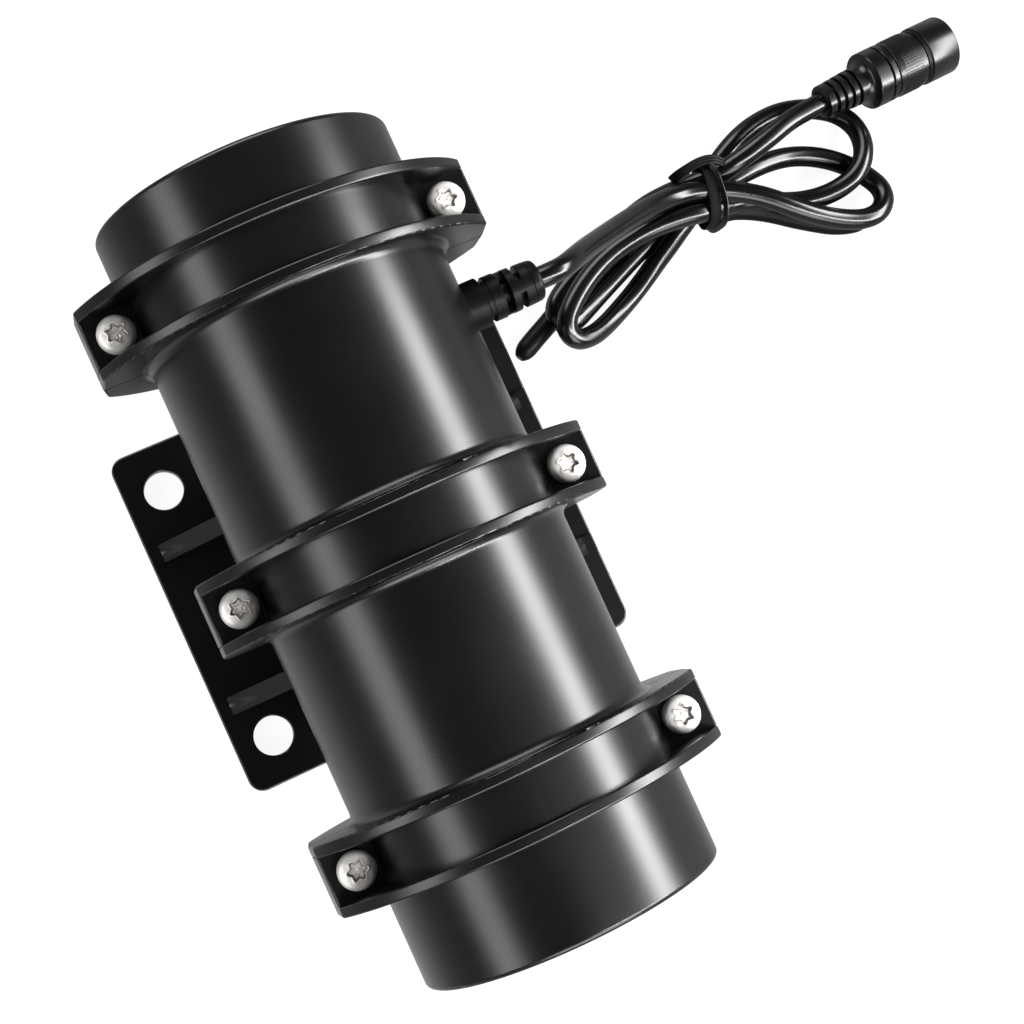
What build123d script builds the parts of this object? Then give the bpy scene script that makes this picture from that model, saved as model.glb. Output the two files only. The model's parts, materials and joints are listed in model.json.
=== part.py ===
from build123d import *
import math
import os

# Vibration motor: a clamshell housing on a cast foot, with a lead that ends in a round connector.
# Frame: X along the motor axis toward the lead, Z up, origin under the foot at the middle of its bolt holes.
# Units are millimetres and degrees.

# Housing tube
TUBE_R = 32.5
WALL = 3.5
BORE_R = TUBE_R - WALL
AXIS_Z = 50.0
END_POS_X = 76.2
END_NEG_X = -88.8
RIM_R = 1.2
SEAM = 0.5
SEAM_INSET = 0.35
HALF_SEAM = SEAM / 2

# Clamp stations: two webs with an ear floor between them on each side
CLAMP_X = (55.2, -4.3, -60.3)
FLOOR_HALF = 5.15
WEB_T = 2.4
WEB_TOP = TUBE_R + 1.0
EAR_Y = TUBE_R + 9.7
EAR_DRAFT = 0.5
EAR_H = 8.8
WEB_CORNER_R = 1.6
WEB_EDGE_R = 0.5
BEAD_R = 2.0
SCREW_Y = TUBE_R + 3.55
SCREW_R = 2.0
SCREW_CLEAR_R = 2.25
SCREW_LEN = 16.0
HEAD_R = 4.0
HEAD_H = 3.0

# Foot cast in one with the lower shell
FOOT_X = 41.25
FOOT_Y = 48.0
FOOT_T = 3.0
FOOT_CORNER_R = 3.5
FOOT_EDGE_R = 0.5
BOLT_X = 30.6
BOLT_Y = 38.75
BOLT_R = 4.5
PED_X = 34.0
PED_Y = TUBE_R - 1.9
PED_CORNER_R = 6.0
RIB_X = (17.2, -20.6)
RIB_T = 4.2
RIB_FOOT_Y = 45.0
RIB_FOOT_H = 1.8
RIB_TOP_Z = 13.6
STEP_H = 0.8

# Strain relief at mid height
GLAND_X = 34.5
GLAND_NECK_R = 3.6
GLAND_FLANGE_Y = BORE_R - 1.8
GLAND_BARS_Y = TUBE_R + 10.8
GLAND_END_Y = TUBE_R + 17.0
CORD_R = 2.5

# Motor inside the housing
CAN_X0 = -52.0
CAN_X1 = 22.0
CAN_T = 2.0
MAGNET_T = 6.0
MAGNET_R = (BORE_R - CAN_T - MAGNET_T, BORE_R - CAN_T)
MAGNET_HALF_DEG = 58.0
AIR_GAP = 0.6
CORE_R = MAGNET_R[0] - AIR_GAP
SLOTS = 12
WIND_R = CORE_R - 1.8
WIND_END = 6.0
COMM_R = 9.0
COMM_X = (3.0, 16.0)
COMM_SLOT = (0.6, 0.9)
BELL_T = 5.0
BEARING_R = 15.0
BEARING_W = 9.0
SHAFT_R = 5.0
BALL_PITCH_R = (BEARING_R + SHAFT_R) / 2
RACE_OUT_R = BALL_PITCH_R + 2.4
RACE_IN_R = BALL_PITCH_R - 2.4
BELL_HUB_R = BEARING_R + 3.5
BELL_LIP_R = RACE_OUT_R + 0.4
BALL_R = 2.38
BALLS = 7
BALL_PLAY = 0.06
SHAFT_X = (-83.0, 67.0)
SHAFT_BODY_R = 6.0
SHOULDER_R = 7.0
BELL_LIP_T = 1.5
WIND_CLEARANCE = 0.5
MAGNET_OVERHANG = 2.0
REAR_BEARING_X = CAN_X0 - BELL_T
REAR_LIP_X = REAR_BEARING_X + BEARING_W + BELL_LIP_T
CORE_X = (REAR_LIP_X + WIND_CLEARANCE + WIND_END, -6.0)
MAGNET_X = (CORE_X[0] - MAGNET_OVERHANG, CORE_X[1] + MAGNET_OVERHANG)
FRONT_BEARING_X = CAN_X1 - BEARING_W + BELL_T
TIE_BOLT_Y = BORE_R - CAN_T - 3.0
TIE_BOLT_R = 2.0

# Brush gear
BRUSH_X = 10.0
BRUSH_SIZE = (5.6, 6.4)
BRUSH_LEN = 8.5
BRUSH_FIT = 0.06
HOLDER_R = (COMM_R + 1.4, BORE_R - CAN_T - 1.4)
TAB_R = HOLDER_R[1] - 6.1
PIN_Y = -9.0
PIN_R = 0.8
HOLDER_WALL = 1.2
BRUSH_PLAY = 0.1
SPRING_R = 2.2
SPRING_WIRE_R = 0.35
SPRING_TURNS = 5

# Eccentric weights
WEIGHT_R = BORE_R - 3.0
WEIGHT_HUB_R = 9.5
WEIGHT_T = 8.0
WEIGHT_PITCH = WEIGHT_T + 1.0
WEIGHT_X = (44.0, 44.0 + WEIGHT_PITCH, -70.0, -70.0 - WEIGHT_PITCH)
WEIGHT_BORE_R = SHAFT_R
CLIP_R = 7.6
CLIP_T = 1.0

# Lead, hank and tie. The lead's route runs from the strain relief down to the tie
LEAD_ROUTE = (
    (GLAND_X, -GLAND_END_Y, AXIS_Z),
    (GLAND_X, -GLAND_END_Y - 5.1, AXIS_Z),
    (35.6, -60.6, 47.4),
    (37.5, -66.8, 42.0),
    (39.6, -73.4, 34.6),
    (41.8, -80.4, 26.4),
    (44.0, -87.6, 18.9),
    (46.0, -94.6, 13.2),
    (47.6, -100.6, 10.2),
    (48.4, -105.6, 9.4),
)
TAIL_ROUTE = (
    (47.0, -112.4, 11.4),
    (48.4, -118.9, 12.1),
    (50.5, -127.0, 12.1),
)
TAIL_STRAIGHT = 8.2
TIE_AT = (43.4, -108.7)
TIE_TURN = -13.7
TIE_LEN = 7.0
BUNDLE_W = 14.4
BUNDLE_Z = (1.1, 14.2)
TIE_BAND = 5.0
TIE_T = 0.9
TWIST_R = 1.5
TWIST_ROUTE = ((49.6, -108.0, 13.6), (50.4, -104.6, 14.6), (50.3, -99.8, 13.2))
LOBE_Z = 10.6
FLAT_Z = 5.2

# Connector
CONN_REAR = (53.7, -143.1, 10.6)
CONN_DIR = (2.6, -37.5, -3.2)
RELIEF_RINGS = ((0.0, 2.3, 4.1), (2.9, 4.9, 4.25), (5.5, 7.2, 4.4), (7.8, 9.6, 4.55))
RELIEF_CORE_R = 3.5
SHOULDER_S = (14.1, 19.5)
CONN_R = 7.1
NUT_S = (19.7, 37.7)
NUT_R = 7.15
SLEEVE_R = 7.3
BARREL_R = 6.0
BARREL_END_S = 30.0
MOUTH_R = 5.6
INSULATOR_R = 5.0
INSULATOR_S = 22.0
SOCKET_S = INSULATOR_S + 1.0
SOCKET_R = 1.1
SOCKET_Y = 2.1
RING_GROOVE_S = (28.4, 29.3)
KNURLS = 30


def x_rod(radius, x0, x1, y=0.0, z=AXIS_Z):
    return Location((x0, y, z), (0, 90, 0)) * Cylinder(
        radius, x1 - x0, align=(Align.CENTER, Align.CENTER, Align.MIN))


def x_ring(r_out, r_in, x0, x1):
    return x_rod(r_out, x0, x1) - x_rod(r_in, x0 - 1, x1 + 1)


def turned(points, axis_z=AXIS_Z):
    outline = [(x, axis_z + r) for x, r in points]
    profile = Plane.XZ * make_face(Polyline(*outline, close=True))
    return revolve(profile, Axis((0, 0, axis_z), (1, 0, 0)))


def block(x, y, z):
    size = (x[1] - x[0], y[1] - y[0], z[1] - z[0])
    middle = ((x[0] + x[1]) / 2, (y[0] + y[1]) / 2, (z[0] + z[1]) / 2)
    return Pos(*middle) * Box(*size)


def fused(shapes):
    whole = shapes[0]
    for shape in shapes[1:]:
        whole = whole + shape
    return whole


# Web outline seen along X: a wide arc over the tube between the two ears, cut off at the seam
def web_outline():
    low = HALF_SEAM
    arc = ThreePointArc((-EAR_Y, EAR_H), (0, WEB_TOP), (EAR_Y, EAR_H))
    foot = Polyline((EAR_Y, EAR_H), (EAR_Y + EAR_DRAFT, low), (-EAR_Y - EAR_DRAFT, low), (-EAR_Y, EAR_H))
    face = make_face(arc + foot)
    corners = [v for v in face.vertices() if v.Y > EAR_H - 0.1]
    return fillet(corners, WEB_CORNER_R)


def web(x0):
    solid = extrude(Plane.YZ.offset(x0) * web_outline(), WEB_T)
    edges = [e for e in solid.edges() if e.center().Z > HALF_SEAM + 1 and abs(e.tangent_at(0.5).X) < 0.5]
    return fillet(edges, WEB_EDGE_R)


# Ear floor between two webs, with a drafted end face
def ear_floor(x, side):
    outline = Polyline(
        (side * (BORE_R + 1), HALF_SEAM), (side * (EAR_Y + EAR_DRAFT), HALF_SEAM),
        (side * EAR_Y, EAR_H), (side * (BORE_R + 1), EAR_H), close=True)
    solid = extrude(Plane.YZ.offset(x - FLOOR_HALF) * make_face(outline), 2 * FLOOR_HALF)
    rim = [e for e in solid.edges() if abs(e.center().Y) > EAR_Y - 0.1 and e.center().Z > EAR_H - 0.1]
    return fillet(rim, WEB_EDGE_R)


# Concave bead where a web meets the tube, kept inside the web's own outline
def bead(x_face, direction):
    corner = (x_face, TUBE_R - 1)
    reach = x_face + direction * BEAD_R
    bend = math.sqrt(0.5)
    curve = ThreePointArc(
        (x_face, TUBE_R + BEAD_R),
        (reach - direction * BEAD_R * bend, TUBE_R + BEAD_R * (1 - bend)),
        (reach, TUBE_R))
    base = Polyline((reach, TUBE_R), (reach, TUBE_R - 1), corner, (x_face, TUBE_R + BEAD_R))
    ring = revolve(Plane.XZ * make_face(curve + base), Axis((0, 0, 0), (1, 0, 0)))
    start = min(x_face, reach)
    return ring & extrude(Plane.YZ.offset(start) * web_outline(), BEAD_R)


def bead_faces():
    outer = FLOOR_HALF + WEB_T
    front, middle, rear = CLAMP_X
    return ((front - outer, -1), (middle + outer, 1), (middle - outer, -1), (rear + outer, 1))


def cavity():
    return x_rod(BORE_R, END_NEG_X + WALL, END_POS_X - WALL, z=0)


# Upper half of the shell about an axis at z = 0, with its webs and ears, before the bore is cut
def half_shell():
    tube = x_rod(TUBE_R, END_NEG_X, END_POS_X, z=0)
    tube = fillet(tube.edges().filter_by(GeomType.CIRCLE), RIM_R)
    half_space = block((END_NEG_X - 1, END_POS_X + 1), (-60, 60), (HALF_SEAM, 60))
    pieces = [tube & half_space]
    for x in CLAMP_X:
        pieces.append(web(x - FLOOR_HALF - WEB_T))
        pieces.append(web(x + FLOOR_HALF))
        pieces.append(ear_floor(x, 1))
        pieces.append(ear_floor(x, -1))
    pieces += [bead(x_face, direction) for x_face, direction in bead_faces()]
    return fused(pieces)


def screw_places():
    return [(x, side * SCREW_Y) for x in CLAMP_X for side in (1, -1)]


def screw_holes(radius):
    rods = [Pos(x, y, AXIS_Z) * Cylinder(radius, 60) for x, y in screw_places()]
    return fused(rods)


# Passage for the strain relief's neck through the seam
def gland_passage():
    return Location((GLAND_X, -TUBE_R, AXIS_Z), (90, 0, 0)) * Cylinder(GLAND_NECK_R, 4 * WALL)


def upper_shell():
    shell = Pos(0, 0, AXIS_Z) * (half_shell() - cavity())
    return shell - screw_holes(SCREW_CLEAR_R) - gland_passage()


# Foot plate with its four holes
def foot_plate():
    plate = block((-FOOT_X, FOOT_X), (-FOOT_Y, FOOT_Y), (0, FOOT_T))
    plate = fillet(plate.edges().filter_by(Axis.Z), FOOT_CORNER_R)
    plate = fillet(plate.faces().sort_by(Axis.Z)[-1].edges(), FOOT_EDGE_R)
    return plate


def bolt_holes():
    places = [(sx * BOLT_X, sy * BOLT_Y) for sx in (1, -1) for sy in (1, -1)]
    chamfered = [(0, -1), (BOLT_R, -1), (BOLT_R, FOOT_T - 0.4), (BOLT_R + 0.5, FOOT_T + 0.1), (0, FOOT_T + 0.1)]
    cutter = revolve(Plane.XZ * make_face(Polyline(*chamfered, close=True)), Axis.Z)
    return fused([Pos(x, y, 0) * cutter for x, y in places])


# Sloping rib with the low step that runs on to the plate's edge
def rib(x, side):
    top_z = FOOT_T + RIB_FOOT_H
    outline = Polyline(
        (side * (PED_Y - 1), FOOT_T - 1), (side * (FOOT_Y - FOOT_EDGE_R), FOOT_T - 1),
        (side * (FOOT_Y - FOOT_EDGE_R), FOOT_T + STEP_H), (side * RIB_FOOT_Y, FOOT_T + STEP_H),
        (side * RIB_FOOT_Y, top_z), (side * (PED_Y - 1), RIB_TOP_Z), close=True)
    return extrude(Plane.YZ.offset(x - RIB_T / 2) * make_face(outline), RIB_T)


def lower_shell():
    upper_form = half_shell()
    shell = Pos(0, 0, AXIS_Z) * mirror(upper_form, about=Plane.XY)
    pedestal = block((-PED_X, PED_X), (-PED_Y, PED_Y), (FOOT_T / 2, AXIS_Z - 11.5))
    pedestal = fillet(pedestal.edges().filter_by(Axis.Z), PED_CORNER_R)
    pedestal = pedestal - x_rod(TUBE_R - 1, END_NEG_X, END_POS_X)
    foot = foot_plate() + pedestal
    for x in RIB_X:
        foot = foot + rib(x, 1) + rib(x, -1)
    whole = shell + foot
    whole = whole - Pos(0, 0, AXIS_Z) * cavity()
    return whole - bolt_holes() - screw_holes(SCREW_R) - gland_passage()


# Gasket in the seam, set back a little from the outside faces
def parting_gasket():
    low = AXIS_Z - HALF_SEAM
    high = AXIS_Z + HALF_SEAM
    inset = SEAM_INSET
    body = block((END_NEG_X + inset, END_POS_X - inset), (-TUBE_R + inset, TUBE_R - inset), (low, high))
    body = fillet(body.edges().filter_by(Axis.Z), RIM_R)
    reach = FLOOR_HALF + WEB_T - inset
    side = EAR_Y + EAR_DRAFT - inset
    ears = [block((x - reach, x + reach), (-side, side), (low, high)) for x in CLAMP_X]
    inside = block((END_NEG_X + WALL, END_POS_X - WALL), (-BORE_R, BORE_R), (low - 1, high + 1))
    return fused([body] + ears) - inside - screw_holes(SCREW_CLEAR_R) - gland_passage()


# Six pan head screws with a six lobe recess
def lobed_recess():
    lobes = [Pos(1.25 * math.cos(a), 1.25 * math.sin(a)) * Circle(0.55)
             for a in [math.radians(60 * i) for i in range(6)]]
    return fused([Circle(1.3)] + lobes)


def pan_screw():
    dome = revolve(Plane.XZ * make_face(
        Polyline((0, HEAD_H), (0, 0), (HEAD_R, 0), (HEAD_R, HEAD_H * 0.45))
        + ThreePointArc((HEAD_R, HEAD_H * 0.45), (HEAD_R * 0.8, HEAD_H * 0.86), (0, HEAD_H))), Axis.Z)
    recess = extrude(Pos(0, 0, HEAD_H - 1.5) * lobed_recess(), 3)
    shank = Pos(0, 0, -SCREW_LEN) * Cylinder(
        SCREW_R, SCREW_LEN, align=(Align.CENTER, Align.CENTER, Align.MIN))
    return dome - recess + shank


def clamp_screws():
    screw = pan_screw()
    return Compound(children=[Pos(x, y, AXIS_Z + EAR_H) * screw for x, y in screw_places()])


# Rubber strain relief: flange and neck held in the seam, then cut rings down to the cord
def cable_strain_relief():
    profile = (
        (GLAND_FLANGE_Y, 0), (GLAND_FLANGE_Y, 5.0), (BORE_R + 0.5, 5.0), (BORE_R + 0.5, GLAND_NECK_R),
        (TUBE_R - 1, GLAND_NECK_R), (TUBE_R - 1, 5.2), (TUBE_R + 3.6, 5.2), (TUBE_R + 4.1, 4.7),
        (TUBE_R + 4.8, 4.1), (TUBE_R + 4.8, 4.5), (TUBE_R + 5.2, 4.9), (TUBE_R + 8.0, 4.9),
        (TUBE_R + 8.0, 3.7), (TUBE_R + 9.9, 3.7), (TUBE_R + 9.9, 4.4), (TUBE_R + 11.7, 4.4),
        (TUBE_R + 11.7, 3.6), (TUBE_R + 13.5, 3.6), (TUBE_R + 13.5, 4.4), (GLAND_END_Y - 0.5, 4.4),
        (GLAND_END_Y, 3.9), (GLAND_END_Y, 0))
    body = revolve(Plane.XY * make_face(Polyline(*profile, close=True)), Axis.X)
    body = Location((GLAND_X, 0, AXIS_Z), (0, 0, -90)) * body
    wall = x_ring(TUBE_R, BORE_R, GLAND_X - 8, GLAND_X + 8) - gland_passage()
    bars = [Location((GLAND_X, -GLAND_BARS_Y, AXIS_Z), (0, turn, 0)) * Box(1.8, 5.6, 8.4) for turn in (30, 120)]
    return (body - wall) + (fused(bars) & body_hull())


def body_hull():
    return Location((GLAND_X, -GLAND_BARS_Y, AXIS_Z), (90, 0, 0)) * Cylinder(4.3, 5.6)


# Motor frame inside the shells
def motor_can():
    return x_ring(BORE_R, BORE_R - CAN_T, CAN_X0, CAN_X1)


def field_magnet(side):
    r_in, r_out = MAGNET_R
    sector = Pos(0, 0, 0) * x_ring(r_out, r_in, *MAGNET_X)
    reach = 60 * math.tan(math.radians(MAGNET_HALF_DEG))
    wedge = Polyline((0, AXIS_Z), (-reach, AXIS_Z + side * 60), (reach, AXIS_Z + side * 60), close=True)
    return sector & extrude(Plane.YZ.offset(MAGNET_X[0]) * make_face(wedge), MAGNET_X[1] - MAGNET_X[0])


def tie_bolt_holes():
    return fused([x_rod(TIE_BOLT_R, CAN_X0 - 10, CAN_X1 + 10, y=s * TIE_BOLT_Y) for s in (1, -1)])


def motor_tie_bolts():
    bolts = []
    for side in (1, -1):
        y = side * TIE_BOLT_Y
        shank = x_rod(TIE_BOLT_R, REAR_BEARING_X, CAN_X1 + BELL_T, y=y)
        head = Location((REAR_BEARING_X, y, AXIS_Z), (0, -90, 0)) * extrude(RegularPolygon(3.6, 6), 2.8)
        bolts.append(shank + head)
    return Compound(children=bolts)


# End bells: a disc that closes the can and a hub that carries the bearing
def rear_end_bell():
    bell = turned((
        (CAN_X0 - BELL_T, BEARING_R), (CAN_X0 - BELL_T, BORE_R), (CAN_X0, BORE_R), (CAN_X0, BELL_HUB_R),
        (REAR_BEARING_X + BEARING_W, BELL_HUB_R), (REAR_LIP_X, BELL_HUB_R - 1),
        (REAR_LIP_X, BELL_LIP_R), (REAR_BEARING_X + BEARING_W, BELL_LIP_R),
        (REAR_BEARING_X + BEARING_W, BEARING_R)))
    return bell - tie_bolt_holes()


def front_end_bell():
    bell = turned((
        (CAN_X1 + BELL_T, BEARING_R), (CAN_X1 + BELL_T, BORE_R), (CAN_X1, BORE_R), (CAN_X1, BELL_HUB_R),
        (FRONT_BEARING_X, BELL_HUB_R), (FRONT_BEARING_X - 1.2, BELL_HUB_R - 1),
        (FRONT_BEARING_X - 1.2, BELL_LIP_R), (FRONT_BEARING_X, BELL_LIP_R), (FRONT_BEARING_X, BEARING_R)))
    width = BRUSH_SIZE[1] / 2 + HOLDER_WALL + BRUSH_PLAY
    for side in (1, -1):
        z = sorted((AXIS_Z + side * (HOLDER_R[0] + 1.6), AXIS_Z + side * (HOLDER_R[1] - 1.1)))
        bell = bell + block((BRUSH_X - 3.5, CAN_X1), (width, width + 2.2), z)
        bell = bell - x_rod(PIN_R, CAN_X1 - 2, CAN_X1 + 8, y=PIN_Y, z=AXIS_Z + side * TAB_R)
    return bell - tie_bolt_holes() - x_rod(BEARING_R, FRONT_BEARING_X, CAN_X1 + 8)


# Deep groove ball bearings
def race(x0, r_out, r_in):
    x1 = x0 + BEARING_W
    groove = revolve(
        Plane.XZ * (Pos(x0 + BEARING_W / 2, AXIS_Z + BALL_PITCH_R) * Circle(BALL_R + BALL_PLAY)),
        Axis((0, 0, AXIS_Z), (1, 0, 0)))
    ring = x_ring(r_out, r_in, x0, x1)
    rims = ring.edges().filter_by(GeomType.CIRCLE)
    return chamfer(rims, 0.3) - groove


def ball_set(x0):
    x = x0 + BEARING_W / 2
    parts = [x_ring(BALL_PITCH_R + 0.9, BALL_PITCH_R - 0.9, x - 1.4, x + 1.4)]
    for i in range(BALLS):
        a = math.radians(360 * i / BALLS)
        parts.append(Pos(x, BALL_PITCH_R * math.cos(a), AXIS_Z + BALL_PITCH_R * math.sin(a)) * Sphere(BALL_R))
    return fused(parts)


# Rotor
def rotor_shaft():
    x0, x1 = SHAFT_X
    rear_face = REAR_BEARING_X + BEARING_W
    return turned((
        (x0, 0), (x0, SHAFT_R - 0.5), (x0 + 0.5, SHAFT_R), (rear_face, SHAFT_R),
        (rear_face, SHOULDER_R), (rear_face + 2, SHOULDER_R), (rear_face + 2, SHAFT_BODY_R),
        (COMM_X[0], SHAFT_BODY_R), (COMM_X[0], SHAFT_R),
        (x1 - 0.5, SHAFT_R), (x1, SHAFT_R - 0.5), (x1, 0)))


def slot_face():
    low = SHAFT_BODY_R + 4
    outline = Polyline((-0.8, low), (-2.8, WIND_R), (2.8, WIND_R), (0.8, low), close=True)
    return make_face(outline)


def slot_angles():
    return [360 * i / SLOTS for i in range(SLOTS)]


def slot_bars():
    x0, x1 = CORE_X
    bar = extrude(Plane.YZ.offset(x0) * slot_face(), x1 - x0)
    return [Pos(0, 0, AXIS_Z) * Rot(a, 0, 0) * bar for a in slot_angles()]


def armature_core():
    x0, x1 = CORE_X
    mouth = Pos((x0 + x1) / 2, 0, CORE_R) * Box(x1 - x0 + 2, 1.4, 5)
    core = x_ring(CORE_R, SHAFT_BODY_R, x0, x1)
    for a in slot_angles():
        core = core - Pos(0, 0, AXIS_Z) * Rot(a, 0, 0) * mouth
    return core - fused(slot_bars())


def winding_end(x0, x1):
    ring = x_ring(WIND_R, SHAFT_BODY_R + 3.6, x0, x1)
    return fillet(ring.edges().filter_by(GeomType.CIRCLE), 1.8)


def armature_windings():
    x0, x1 = CORE_X
    return fused([winding_end(x0 - WIND_END, x0), winding_end(x1, x1 + WIND_END)] + slot_bars())


def commutator():
    x0, x1 = COMM_X
    slot = Pos((x0 + x1) / 2, 0, COMM_R) * Box(x1 - x0 + 2, COMM_SLOT[0], 2 * COMM_SLOT[1])
    body = x_ring(COMM_R, SHAFT_R, x0, x1)
    for a in slot_angles():
        body = body - Pos(0, 0, AXIS_Z) * Rot(a + 15, 0, 0) * slot
    return body + x_ring(SHOULDER_R, SHAFT_R, x1, FRONT_BEARING_X)


# Eccentric weight: a half disc below the axis on a hub with a radial set screw hole
def eccentric_weight(x0):
    hub = x_rod(WEIGHT_HUB_R, x0, x0 + WEIGHT_T)
    disc = x_rod(WEIGHT_R, x0, x0 + WEIGHT_T)
    half = disc & block((x0, x0 + WEIGHT_T), (-WEIGHT_R, WEIGHT_R), (AXIS_Z - WEIGHT_R, AXIS_Z + 1.5))
    arcs = [e for e in half.edges().filter_by(GeomType.CIRCLE)]
    half = chamfer(arcs, 0.6)
    middle = x0 + WEIGHT_T / 2
    hole = Pos(middle, 0, AXIS_Z + WEIGHT_HUB_R) * Cylinder(2.0, 2 * (WEIGHT_HUB_R - SHAFT_R))
    return hub + half - x_rod(WEIGHT_BORE_R, x0 - 1, x0 + WEIGHT_T + 1) - hole


def weight_set_screws():
    length = WEIGHT_HUB_R - SHAFT_R - 1.0
    screws = []
    for x0 in WEIGHT_X:
        body = Cylinder(2.0, length, align=(Align.CENTER, Align.CENTER, Align.MIN))
        socket = extrude(Pos(0, 0, length - 1.2) * RegularPolygon(1.1, 6), 2)
        trim = x_rod(SHAFT_R, x0, x0 + WEIGHT_T)
        screws.append(Pos(x0 + WEIGHT_T / 2, 0, AXIS_Z + SHAFT_R) * (body - socket) - trim)
    return Compound(children=screws)


def shaft_circlips():
    places = (WEIGHT_X[1] + WEIGHT_T, WEIGHT_X[3] - CLIP_T)
    clips = []
    for x in places:
        clip = x_ring(CLIP_R, SHAFT_R, x, x + CLIP_T)
        clips.append(clip - block((x - 1, x + CLIP_T + 1), (-1.6, 1.6), (AXIS_Z, AXIS_Z + 10)))
    return Compound(children=clips)


def preload_washer():
    x1 = REAR_BEARING_X
    return x_ring(BEARING_R - 0.4, RACE_OUT_R - 0.2, x1 - 0.8, x1)


# Brush gear
def brush_holders():
    wide = BRUSH_SIZE[0] / 2 + BRUSH_PLAY
    deep = BRUSH_SIZE[1] / 2 + BRUSH_PLAY
    holders = []
    for side in (1, -1):
        z = sorted((AXIS_Z + side * HOLDER_R[0], AXIS_Z + side * HOLDER_R[1]))
        well = sorted((AXIS_Z + side * (HOLDER_R[0] - 1), AXIS_Z + side * (HOLDER_R[1] - HOLDER_WALL)))
        outside = block((BRUSH_X - wide - HOLDER_WALL, BRUSH_X + wide + HOLDER_WALL),
                        (-deep - HOLDER_WALL, deep + HOLDER_WALL), z)
        box = outside - block((BRUSH_X - wide, BRUSH_X + wide), (-deep, deep), well)
        tab_z = AXIS_Z + side * TAB_R
        tab = block((BRUSH_X + 1, CAN_X1 - 6), (PIN_Y - PIN_R, -deep - HOLDER_WALL), (tab_z - 1.0, tab_z + 1.0))
        pin = x_rod(PIN_R, CAN_X1 - 6.5, CAN_X1 + BELL_T + 6, y=PIN_Y, z=tab_z)
        holders.append(box + tab + pin)
    return Compound(children=holders)


def brush(side):
    z = sorted((AXIS_Z + side * (COMM_R - 1), AXIS_Z + side * (COMM_R + BRUSH_LEN)))
    half_x = BRUSH_SIZE[0] / 2
    half_y = BRUSH_SIZE[1] / 2
    body = block((BRUSH_X - half_x, BRUSH_X + half_x), (-half_y, half_y), z)
    return body - x_rod(COMM_R + BRUSH_FIT, COMM_X[0] - 1, COMM_X[1] + 1)


# Coil spring between the brush and the closed end of its holder
def brush_spring(side):
    low = COMM_R + BRUSH_LEN + SPRING_WIRE_R
    high = HOLDER_R[1] - HOLDER_WALL - SPRING_WIRE_R
    steps = 12 * SPRING_TURNS
    points = []
    for i in range(steps + 1):
        a = math.radians(30 * i)
        points.append((SPRING_R * math.cos(a), SPRING_R * math.sin(a), low + (high - low) * i / steps))
    path = Polyline(*points)
    start = Plane(path @ 0, z_dir=path % 0)
    coil = sweep(start * RegularPolygon(SPRING_WIRE_R, 6), path, transition=Transition.RIGHT)
    if side < 0:
        coil = mirror(coil, about=Plane.XY)
    return Pos(BRUSH_X, 0, AXIS_Z) * coil


# Wires from the strain relief to the brush terminals
def lead_wire(side):
    tab_z = AXIS_Z + side * TAB_R
    end_x = CAN_X1 + BELL_T + 6
    points = [
        (GLAND_X, -GLAND_FLANGE_Y, AXIS_Z + side * 1.3), (GLAND_X, -GLAND_FLANGE_Y + 4.7, AXIS_Z + side * 1.3),
        (GLAND_X + 3.4, -14.5, AXIS_Z + side * 9.0), (GLAND_X + 3.6, PIN_Y - 0.6, AXIS_Z + side * 16.5),
        (GLAND_X + 1.4, PIN_Y, tab_z), (end_x, PIN_Y, tab_z)]
    return round_tube(points, PIN_R)


def corner_radii(points, share=0.45):
    radii = []
    for before, here, after in zip(points, points[1:], points[2:]):
        first = Vector(*here) - Vector(*before)
        second = Vector(*after) - Vector(*here)
        turn = math.radians(first.get_angle(second))
        radii.append(share * min(first.length, second.length) / math.tan(turn / 2))
    return radii


def round_tube(points, radius):
    radii = corner_radii(points)
    path = FilletPolyline(*points, radius=radii)
    start = Plane(origin=path @ 0, z_dir=path % 0)
    return sweep(start * Circle(radius), path)


def cord_tube(name, points):
    radii = corner_radii(points)
    tube = round_tube(points, CORD_R)
    length = FilletPolyline(*points, radius=radii).length
    print(name, "radii", [round(r, 1) for r in radii])
    print(name, "length", round(length, 1), "volume over section x length",
          round(tube.volume / (math.pi * CORD_R ** 2 * length), 4))
    return tube


def cord_tail():
    rear = Vector(*CONN_REAR)
    straight = rear - Vector(*CONN_DIR).normalized() * TAIL_STRAIGHT
    return cord_tube("cord_tail", TAIL_ROUTE + (tuple(straight), CONN_REAR))


# Hank of cord: two flat lobes of loops either side of the tied waist
def prism(points, z0, z1, corner):
    face = make_face(Polyline(*points, close=True))
    solid = extrude(Plane.XY.offset(z0) * face, z1 - z0)
    return fillet(solid.edges().filter_by(Axis.Z), corner)


def tie_frame():
    return Location((TIE_AT[0], TIE_AT[1], 0), (0, 0, TIE_TURN))


def bundle(grow, length):
    z0, z1 = BUNDLE_Z
    wide = BUNDLE_W + 2 * grow
    tall = z1 - z0 + 2 * grow
    box = Pos(0, 0, (z0 + z1) / 2) * Box(wide, length, tall)
    return tie_frame() * fillet(box.edges().filter_by(Axis.Y), 4.0 + grow)


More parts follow.
